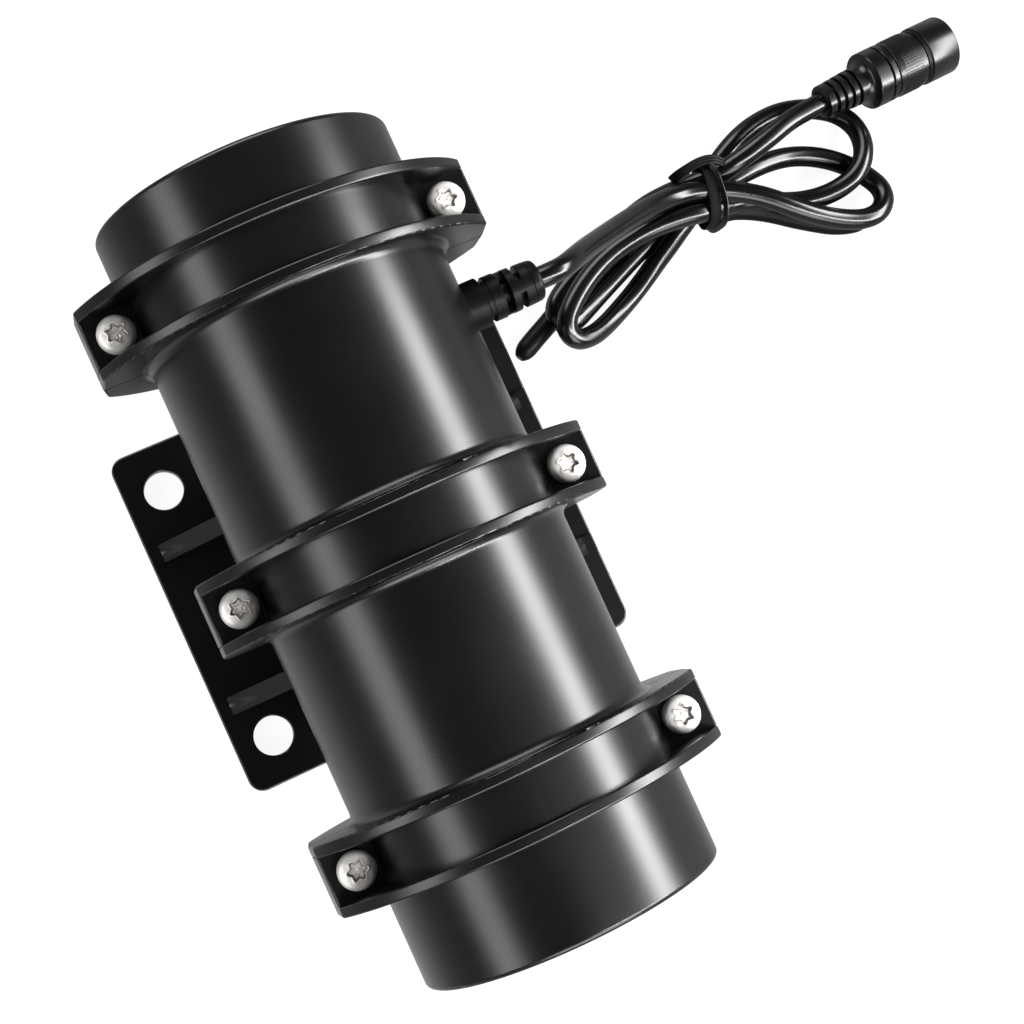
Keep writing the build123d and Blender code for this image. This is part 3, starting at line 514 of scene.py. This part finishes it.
# Housing: the two cast shells. Flats, the tube's round faces and the beads where the webs meet it
# take the normals of the true surface, and the small fillets run on from them
TUBE_R = 0.0325
BEAD_R = 0.00200
CLAMP_X = (0.0552, -0.0043, -0.0603)
WEB_OUTSIDE = 0.00755
BEAD_CENTRES = [CLAMP_X[0] - WEB_OUTSIDE - BEAD_R, CLAMP_X[1] + WEB_OUTSIDE + BEAD_R,
                CLAMP_X[1] - WEB_OUTSIDE - BEAD_R, CLAMP_X[2] + WEB_OUTSIDE + BEAD_R]
# How near a point has to lie to the true surface, and how far a normal may turn from its face
NEAR = 0.00003
SQUARE_TO_AXIS = 0.9999
ALONG_AXIS = 0.02
SAME_SIDE = 0.6


def true_normals(face, places):
    if max(abs(face.normal.x), abs(face.normal.z)) > SQUARE_TO_AXIS:
        return [face.normal.copy() for place in places]
    arms = [Vector((0, place.y, place.z - AXIS_Z)) for place in places]
    if abs(face.normal.x) < ALONG_AXIS and all(abs(arm.length - TUBE_R) < NEAR for arm in arms):
        return [arm.normalized() for arm in arms]
    for centre in BEAD_CENTRES:
        hollows = [arm.normalized() * (TUBE_R + BEAD_R) - arm + Vector((centre - place.x, 0, 0))
                   for arm, place in zip(arms, places)]
        if all(abs(hollow.length - BEAD_R) < NEAR for hollow in hollows):
            return [hollow.normalized() for hollow in hollows]
    return None


def set_true_normals(mesh):
    normals = [corner.vector.copy() for corner in mesh.corner_normals]
    known = {}
    others = []
    for face in mesh.polygons:
        found = true_normals(face, [mesh.vertices[v].co for v in face.vertices])
        if found is None:
            others.append(face)
            continue
        for vertex, corner, normal in zip(face.vertices, face.loop_indices, found):
            normals[corner] = normal
            known.setdefault(vertex, []).append(normal)
    for face in others:
        for vertex, corner in zip(face.vertices, face.loop_indices):
            closest = max(known.get(vertex, ()), key=face.normal.dot, default=None)
            if closest is not None and closest.dot(face.normal) > SAME_SIDE:
                normals[corner] = closest
    mesh.normals_split_custom_set(normals)


# A copy of a CAD node's mesh, where the node lies
def copy_of(node):
    mesh = frame["nodes"][node].data.copy()
    mesh.transform(frame["nodes"][node].matrix_world)
    return mesh


def cast_shell(name, node):
    rough = solid(name + "_rough", copy_of(node), sharp=36.0)
    weighting = rough.modifiers.new("weighted_normal", "WEIGHTED_NORMAL")
    weighting.keep_sharp = True
    weighting.weight = 60
    mesh = settled(rough, name)
    set_true_normals(mesh)
    return finished(show(name, mesh), "black_coat", "housing", node)


cast_shell("housing_upper_half", "upper_shell")
cast_shell("housing_lower_half", "lower_shell")


# Brush springs: smoothed copies of the CAD coils, each with a mesh of its own
for side, outward in (("upper", 1), ("lower", -1)):
    coil_mesh = copy_of("brush_spring_" + side)
    spring = finished(solid("spring_" + side, coil_mesh, sharp=60.0), "bearing_steel", "housing",
                      "brush_spring_" + side)
    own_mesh(spring)


# Clamp screws: domed pan head with a pitted six lobe recess, on a plain shank. Each ring is a
# radius, the depth of its lobes and a height in millimetres, from the middle of the recess outwards
SCREW_Y = 0.03605
SCREW_Z = 0.0588
SCREW_PLACES = [(x, side * SCREW_Y, SCREW_Z) for x in CLAMP_X for side in (1, -1)]
SCREW_TURN_STEP = 0.37
SCREW_STEPS = 72
SCREW_TIP = -15.95
RECESS_FLOOR = 2.2
LOBES = 6
LOBE_POWER = 1.1
PITS = ((0.22, 2.6), (0.12, 6.0))
RECESS_RINGS = [
    (0.25, 0.0, 2.20), (0.45, 0.0, 2.20), (0.65, 0.05, 2.18), (0.85, 0.14, 2.14), (1.02, 0.24, 2.08),
    (1.16, 0.34, 1.98), (1.26, 0.44, 1.80)]
HEAD_RINGS = [
    (1.36, 0.56, 1.00), (1.50, 0.66, 1.05), (1.54, 0.68, 2.70), (1.59, 0.68, 2.90), (1.66, 0.66, 2.97),
    (1.76, 0.62, 2.96), (1.90, 0.50, 2.89), (2.25, 0.22, 2.84), (2.50, 0.06, 2.78), (2.80, 0.0, 2.69),
    (3.20, 0.0, 2.52), (3.50, 0.0, 2.31), (3.74, 0.0, 2.00), (3.90, 0.0, 1.62), (3.98, 0.0, 1.20),
    (3.98, 0.0, 0.34), (3.92, 0.0, 0.14), (3.78, 0.0, 0.02), (2.10, 0.0, 0.01), (1.98, 0.0, -0.3),
    (1.98, 0.0, -15.2), (1.3, 0.0, -15.9)]


def lobed(turn, radius, depth):
    return radius + depth * (0.5 + 0.5 * math.cos(LOBES * turn)) ** LOBE_POWER


def pitted(turn, radius, height):
    place = Vector((radius * math.cos(turn), radius * math.sin(turn), height))
    return height + sum(depth * noise_at(place * scale) for depth, scale in PITS)


def screw_mesh():
    shape = bmesh.new()
    loops = []
    for number, (radius, depth, height) in enumerate(RECESS_RINGS + HEAD_RINGS):
        loop = []
        for i in range(SCREW_STEPS):
            turn = math.tau * i / SCREW_STEPS
            r = lobed(turn, radius, depth)
            z = pitted(turn, r, height) if number < len(RECESS_RINGS) else height
            loop.append(shape.verts.new((r * MM * math.cos(turn), r * MM * math.sin(turn), z * MM)))
        loops.append(loop)
    skin(shape, loops)
    for loop, height in ((loops[0], RECESS_FLOOR), (loops[-1], SCREW_TIP)):
        centre = shape.verts.new((0, 0, height * MM))
        for i in range(SCREW_STEPS):
            shape.faces.new((loop[i], loop[(i + 1) % SCREW_STEPS], centre))
    bmesh.ops.recalc_face_normals(shape, faces=shape.faces)
    return as_mesh(shape, "screw")


screw = show("screw", screw_mesh())
screws = grown("clamp_screw_set", points_carrier("screw_places", SCREW_PLACES), COPIES,
               Copy=screw, Turn_Step=SCREW_TURN_STEP, Finish=FINISHES["zinc_steel"])
bpy.data.objects.remove(screw)
finished(solid("clamp_screw_set", screws, sharp=50.0), "zinc_steel", "housing", "clamp_screws")


BRIDGE_STEP = 6


# A bridge across a slot: a stretch of ring between two radii and two heights, in millimetres,
# that sweeps over an angle in degrees
def bridge_mesh(inner, outer, low, high, sweep):
    shape = bmesh.new()
    corners = [shape.verts.new((r * MM, 0, s * MM)) for r, s in
               ((inner, low), (outer, low), (outer, high), (inner, high))]
    section = shape.faces.new(corners)
    bmesh.ops.spin(shape, geom=[section], cent=(0, 0, 0), axis=(0, 0, 1), angle=math.radians(sweep),
                   steps=max(4, round(sweep / BRIDGE_STEP)), use_duplicate=False)
    if section.is_valid:
        shape.faces.remove(section)
    loose = [edge for edge in shape.edges if edge.is_boundary]
    bmesh.ops.holes_fill(shape, edges=loose, sides=4)
    bmesh.ops.recalc_face_normals(shape, faces=shape.faces)
    return as_mesh(shape, "bridge", Matrix.Rotation(math.radians(-sweep / 2), 4, "Z"))


def ring_of(name, mesh, count, slot, turn=0.0):
    bar = show("bar", mesh)
    made = grown(name, points_carrier(name + "_carrier", [(0, 0, 0)]), RING, Copy=bar, Count=count,
                 Finish=FINISHES[slot])
    bpy.data.objects.remove(bar)
    made.transform(Matrix.Rotation(turn, 4, "Z"))
    return made


# Strain relief at the housing: collars joined by pairs of bridges, with windows between them
RELIEF_PLACE = (Matrix.Translation((CORD_ROUTE[0][0], 0, AXIS_Z))
                @ Matrix.Rotation(math.radians(90), 4, "X"))
RELIEF_PROFILE = (
    (29.0, 0), (29.0, 5.3), (36.25, 5.4), (36.4, 5.25), (36.4, 4.0), (37.6, 4.0), (37.6, 4.8),
    (37.75, 4.95), (40.15, 4.95), (40.3, 4.8), (40.3, 2.56), (42.0, 2.56), (42.0, 4.65), (42.12, 4.8),
    (43.7, 4.75), (43.8, 4.65), (43.8, 3.0), (45.0, 3.0), (45.0, 4.5), (45.12, 4.66), (47.1, 4.62),
    (47.2, 4.5), (47.35, 4.58), (48.5, 4.5), (49.1, 4.25), (49.4, 3.8), (49.5, 3.1), (49.5, 0))
TOWARD_CAMERA = math.radians(99)
QUARTER = math.radians(90)
# Each pair is a name, the sizes of its bridges, and the turn at which the first one lies
RELIEF_BRIDGES = (
    ("relief_end_bridges", (2.9, 4.6, 43.6, 45.2, 36), TOWARD_CAMERA),
    ("relief_side_bridges", (2.6, 4.72, 40.1, 42.2, 40), TOWARD_CAMERA + QUARTER),
    ("relief_root_bridges", (3.6, 4.85, 36.6, 37.8, 96), TOWARD_CAMERA))
relief = turned("strain_relief", RELIEF_PROFILE)
bars = [ring_of(name, bridge_mesh(*sizes), 2, "black_rubber", turn)
        for name, sizes, turn in RELIEF_BRIDGES]
relief_piece = solid("strain_relief", joined("strain_relief", [relief] + bars, RELIEF_PLACE), sharp=28.0)
finished(relief_piece, "black_rubber", "housing", "cable_strain_relief", look=MATTE_BLACK)


# Connector, drawn along its own axis and laid at the end of the cord. Its body starts with four
# rings, each a start, an end and a radius. The neck, the shoulder and the nut's seat follow
CONNECTOR_AXIS = Vector((2.6, -37.5, -3.2)).normalized()
across = Vector((0, 0, 1)).cross(CONNECTOR_AXIS).normalized()
upward = CONNECTOR_AXIS.cross(across)
CONNECTOR_PLACE = Matrix.Translation(CORD_ROUTE[-1]) @ Matrix(
    (across, upward, CONNECTOR_AXIS)).transposed().to_4x4()
BODY_RINGS = ((0.4, 2.3, 4.15), (3.1, 4.5, 4.3), (5.3, 6.7, 4.45), (7.5, 8.9, 4.6))
RING_ROUNDING = 0.12
CUT_R = 3.3
CUT_START = 0.02
CUT_END = 0.78

body_profile = [(0.0, 0.0), (0.0, 2.7), (0.1, 3.3), (0.35, 3.75)]
for start, end, radius in BODY_RINGS:
    body_profile += [(start, radius - 0.2), (start + RING_ROUNDING, radius - 0.03),
                     (end - RING_ROUNDING, radius + 0.05), (end, radius - RING_ROUNDING),
                     (end + CUT_START, CUT_R), (end + CUT_END, CUT_R)]
body_profile += [
    (9.7, 4.5), (9.85, 4.65), (11.4, 4.75), (11.9, 4.85), (12.5, 5.15), (13.0, 5.7), (13.35, 6.4),
    (13.5, 6.8), (13.55, 6.95), (13.75, 7.1), (17.2, 7.15), (17.35, 7.0), (17.35, 6.55), (17.85, 6.55),
    (17.85, 7.0), (18.0, 7.12), (19.2, 7.12), (19.35, 6.95), (19.35, 6.0), (30.0, 6.0), (30.0, 5.0),
    (22.0, 5.0), (22.0, 0.0)]
body_mesh = turned("connector_relief_and_shoulder", body_profile, CONNECTOR_PLACE)
connector_piece = solid("connector_relief_and_shoulder", body_mesh, sharp=27.0)
finished(connector_piece, "black_rubber", "housing", "connector_body")


# Coupling nut: a knurled grip, a groove, and a smooth sleeve out to the mouth
NUT_PROFILE = (
    (19.7, 6.06), (19.7, 6.8), (19.85, 6.98), (20.1, 7.02), (28.05, 7.02), (28.2, 6.9), (28.22, 6.1),
    (29.3, 6.1), (29.35, 6.6), (29.55, 7.15), (29.7, 7.3), (37.3, 7.3), (37.53, 7.22), (37.67, 7.0),
    (37.67, 6.1), (37.5, 5.7), (37.2, 5.6), (30.3, 5.6), (30.3, 6.06), (19.7, 6.06))
KNURLS = 64
KNURL_SIZE = (0.40, 0.42, 5.7)
KNURL_R = 7.0
KNURL_MIDDLE = 24.1
KNURL_BEVEL = 0.1


def knurl_mesh():
    shape = bmesh.new()
    bmesh.ops.create_cube(shape, size=1.0)
    bmesh.ops.scale(shape, verts=shape.verts, vec=[size * MM for size in KNURL_SIZE])
    bmesh.ops.translate(shape, verts=shape.verts, vec=(KNURL_R * MM, 0, KNURL_MIDDLE * MM))
    bmesh.ops.bevel(shape, geom=shape.edges, offset=KNURL_BEVEL * MM, segments=2, affect="EDGES")
    return as_mesh(shape, "knurl")


nut_mesh = turned("coupling_nut_body", NUT_PROFILE)
knurls = ring_of("knurls", knurl_mesh(), KNURLS, "black_plastic")
nut_whole = joined("coupling_nut_and_sleeve", [nut_mesh, knurls], CONNECTOR_PLACE)
nut_piece = solid("coupling_nut_and_sleeve", nut_whole, sharp=27.0)
finished(nut_piece, "black_plastic", "connector_nut", "coupling_nut")


# Tie: a ribbed collar round the bundle with a smooth near-black band in it, which stands for the tie's
# inner wrap and is painted shade inside the collar, a ribbed tail that lies over the hank, and the two
# legs. The collar is drawn about the bundle's own middle, the tail in the frame
TIE_PLACE = Matrix.Translation((0.0434, -0.1087, 0.0)) @ Matrix.Rotation(math.radians(-13.7), 4, "Z")
STRAP_STEPS = 8
COLLAR_RIBS = {"Rib_Radius": 0.00034, "Pitch": 0.00042}
COLLAR = (
    (-0.0078, -0.0004, 0.0076), (-0.0077, -0.0007, 0.0124), (-0.0046, -0.0008, 0.0153),
    (0.0, -0.0005, 0.0153), (0.0048, 0.0002, 0.0152), (0.0081, 0.0019, 0.0124),
    (0.0085, 0.0031, 0.0076), (0.0079, 0.0034, 0.0032), (0.0046, 0.0026, 0.0009),
    (0.0, 0.0016, 0.0009), (-0.0046, 0.0009, 0.0009), (-0.0075, 0.0004, 0.0030))
TAIL_RIBS = {"Rib_Radius": 0.00046, "Pitch": 0.00070}
TAIL = (
    (0.0490, -0.1130, 0.0130), (0.0502, -0.1112, 0.0141), (0.0509, -0.1091, 0.0144),
    (0.0511, -0.1067, 0.0140), (0.0509, -0.1044, 0.0131), (0.0507, -0.1025, 0.0120),
    (0.0506, -0.1013, 0.0108), (0.0503, -0.1006, 0.0096))
SHADE_BAND = {"half_width": 7.6, "low": 0.9, "high": 14.8, "start": 0.2, "end": 2.8, "thickness": 0.5}
BAND_STEPS = 64
BAND_SQUARENESS = 0.75
BAND_EDGE = 0.25
BAND_EDGE_INSET = 0.15


# The shade band is a rounded rectangle about the bundle, its sizes in millimetres. Its near-black
# matte rubber paints the shade inside the collar
def shade_band_mesh(half_width, low, high, start, end, thickness):
    shape = bmesh.new()
    middle, half_height = (low + high) / 2, (high - low) / 2
    loops = []
    for y, inset in ((start, BAND_EDGE_INSET), (start + BAND_EDGE, 0.0), (end - BAND_EDGE, 0.0),
                     (end, BAND_EDGE_INSET), (end, thickness), (start, thickness)):
        loop = []
        for i in range(BAND_STEPS):
            turn = math.tau * i / BAND_STEPS
            c, d = math.cos(turn), math.sin(turn)
            x = math.copysign(abs(c) ** BAND_SQUARENESS, c) * (half_width - inset)
            z = middle + math.copysign(abs(d) ** BAND_SQUARENESS, d) * (half_height - inset)
            loop.append(shape.verts.new((x * MM, y * MM, z * MM)))
        loops.append(loop)
    skin(shape, loops + loops[:1])
    bmesh.ops.recalc_face_normals(shape, faces=shape.faces)
    return as_mesh(shape, "tie_band", TIE_PLACE)


# The band's near-black matte finish is painted shade inside the collar, over the tie's inner wrap
finished(solid("tie_band", shade_band_mesh(**SHADE_BAND), sharp=40.0), "gasket", "housing")

collar_line = curve_along("tie_collar", [TIE_PLACE @ Vector(place) for place in COLLAR], STRAP_STEPS,
                          closed=True)
collar = grown("tie_collar", collar_line, STRAP, Finish=FINISHES["black_plastic"], **COLLAR_RIBS)
finished(solid("tie_collar", collar, sharp=60.0), "black_plastic", "housing", "twist_tie")

for leg in (leg_left, leg_right):
    finished(leg, "black_plastic", "housing", look=MATTE_BLACK)

tail_line = curve_along("tie_tail", TAIL, STRAP_STEPS)
tail_line.data.twist_mode = "Z_UP"
tail = grown("tie_tail", tail_line, STRAP, Finish=FINISHES["black_plastic"], **TAIL_RIBS)
finished(solid("tie_tail", tail, sharp=60.0), "black_plastic", "housing", look=MATTE_BLACK)


finished(cord, "cord_jacket", "housing", "cord_lead", "cord_hank", "cord_tail")


# Studio. The floor looks white to the camera, takes the object's shadow, and glows in reflections
# near the object only. A pair is a distance in metres, or a height, and the strength that it gives
FLOOR_REACH = 4.0
FLOOR_Z = -0.0003
FLOOR_GREY = 0.14
GLOW_MIDDLE = (-0.02, 0.03, 0.0)
GLOW = ((0.085, 0.48), (0.17, 0.04))
FLOOR_WHITE = ((0.45, 0.92), (1.60, 1.0))
SKY_GLOW = ((0.0, 0.22), (0.30, 0.02))
SKY_LIGHT = 0.05


# What a camera ray sees, and what a reflection sees, as one strength
def seen_strength(tree, to_camera, in_mirror):
    path = tree.nodes.new("ShaderNodeLightPath")
    mirror = maths(tree, "MAXIMUM", path.outputs["Is Glossy Ray"], path.outputs["Is Transmission Ray"])
    return maths(tree, "MAXIMUM", maths(tree, "MULTIPLY", path.outputs["Is Camera Ray"], to_camera),
                 maths(tree, "MULTIPLY", mirror, in_mirror))


def floor():
    mesh = bpy.data.meshes.new("floor")
    corners = [(x * FLOOR_REACH, y * FLOOR_REACH, FLOOR_Z) for x, y in ((-1, -1), (1, -1), (1, 1), (-1, 1))]
    mesh.from_pydata(corners, [], [(0, 1, 2, 3)])
    plane = show("floor", mesh)
    material = bpy.data.materials.new("white_floor")
    material.use_nodes = True
    tree = material.node_tree
    shader = tree.nodes["Principled BSDF"]
    shader.inputs["Base Color"].default_value = (FLOOR_GREY, FLOOR_GREY, FLOOR_GREY, 1)
    shader.inputs["Roughness"].default_value = 1.0
    shader.inputs["Specular IOR Level"].default_value = 0.0
    shader.inputs["Emission Color"].default_value = (1, 1, 1, 1)
    away = tree.nodes.new("ShaderNodeVectorMath")
    away.operation = "DISTANCE"
    away.inputs[1].default_value = GLOW_MIDDLE
    tree.links.new(tree.nodes.new("ShaderNodeTexCoord").outputs["Object"], away.inputs[0])
    glow = seen_strength(tree, ramp(tree, away.outputs["Value"], *FLOOR_WHITE),
                         ramp(tree, away.outputs["Value"], *GLOW))
    tree.links.new(glow, shader.inputs["Emission Strength"])
    mesh.materials.append(material)


def world():
    sky = bpy.data.worlds.new("studio")
    scene.world = sky
    sky.use_nodes = True
    tree = sky.node_tree
    background = tree.nodes["Background"]
    direction = tree.nodes.new("ShaderNodeTexCoord")
    parts = tree.nodes.new("ShaderNodeSeparateXYZ")
    tree.links.new(direction.outputs["Generated"], parts.inputs[0])
    seen = seen_strength(tree, 1.0, ramp(tree, parts.outputs["Z"], *SKY_GLOW))
    background.inputs["Color"].default_value = (1, 1, 1, 1)
    tree.links.new(maths(tree, "MAXIMUM", seen, SKY_LIGHT), background.inputs["Strength"])


# Each box is a name, a place, what it faces, a length and a width in metres, and a power in watts
MOTOR_MIDDLE = (0, 0, AXIS_Z)
CORD_MIDDLE = (0.05, -0.12, 0.01)
SOFT_BOXES = (
    ("key_box", (-0.11, -0.80, 0.49), MOTOR_MIDDLE, 0.70, 0.25, 14.5),
    ("fill_box", (-0.02, 0.80, 0.48), MOTOR_MIDDLE, 1.00, 0.30, 5.0),
    ("far_end_card", (-0.72, -0.02, 0.42), MOTOR_MIDDLE, 0.42, 0.70, 6.5),
    ("near_end_card", (0.72, 0.0, 0.42), MOTOR_MIDDLE, 0.42, 0.70, 5.0),
    ("lead_card", (-0.52, -0.50, 0.62), CORD_MIDDLE, 0.12, 0.90, 13.0))


def soft_box(name, place, target, length, width, power):
    light = bpy.data.lights.new(name, "AREA")
    light.shape = "RECTANGLE"
    light.size = length
    light.size_y = width
    light.energy = power
    lamp = show(name, light)
    lamp.location = place
    away = (Vector(place) - Vector(target)).normalized()
    side = Vector((1, 0, 0))
    side = (side - away * side.dot(away)).normalized()
    lamp.rotation_euler = Matrix((side, away.cross(side), away)).transposed().to_euler()


floor()
world()
for box in SOFT_BOXES:
    soft_box(*box)
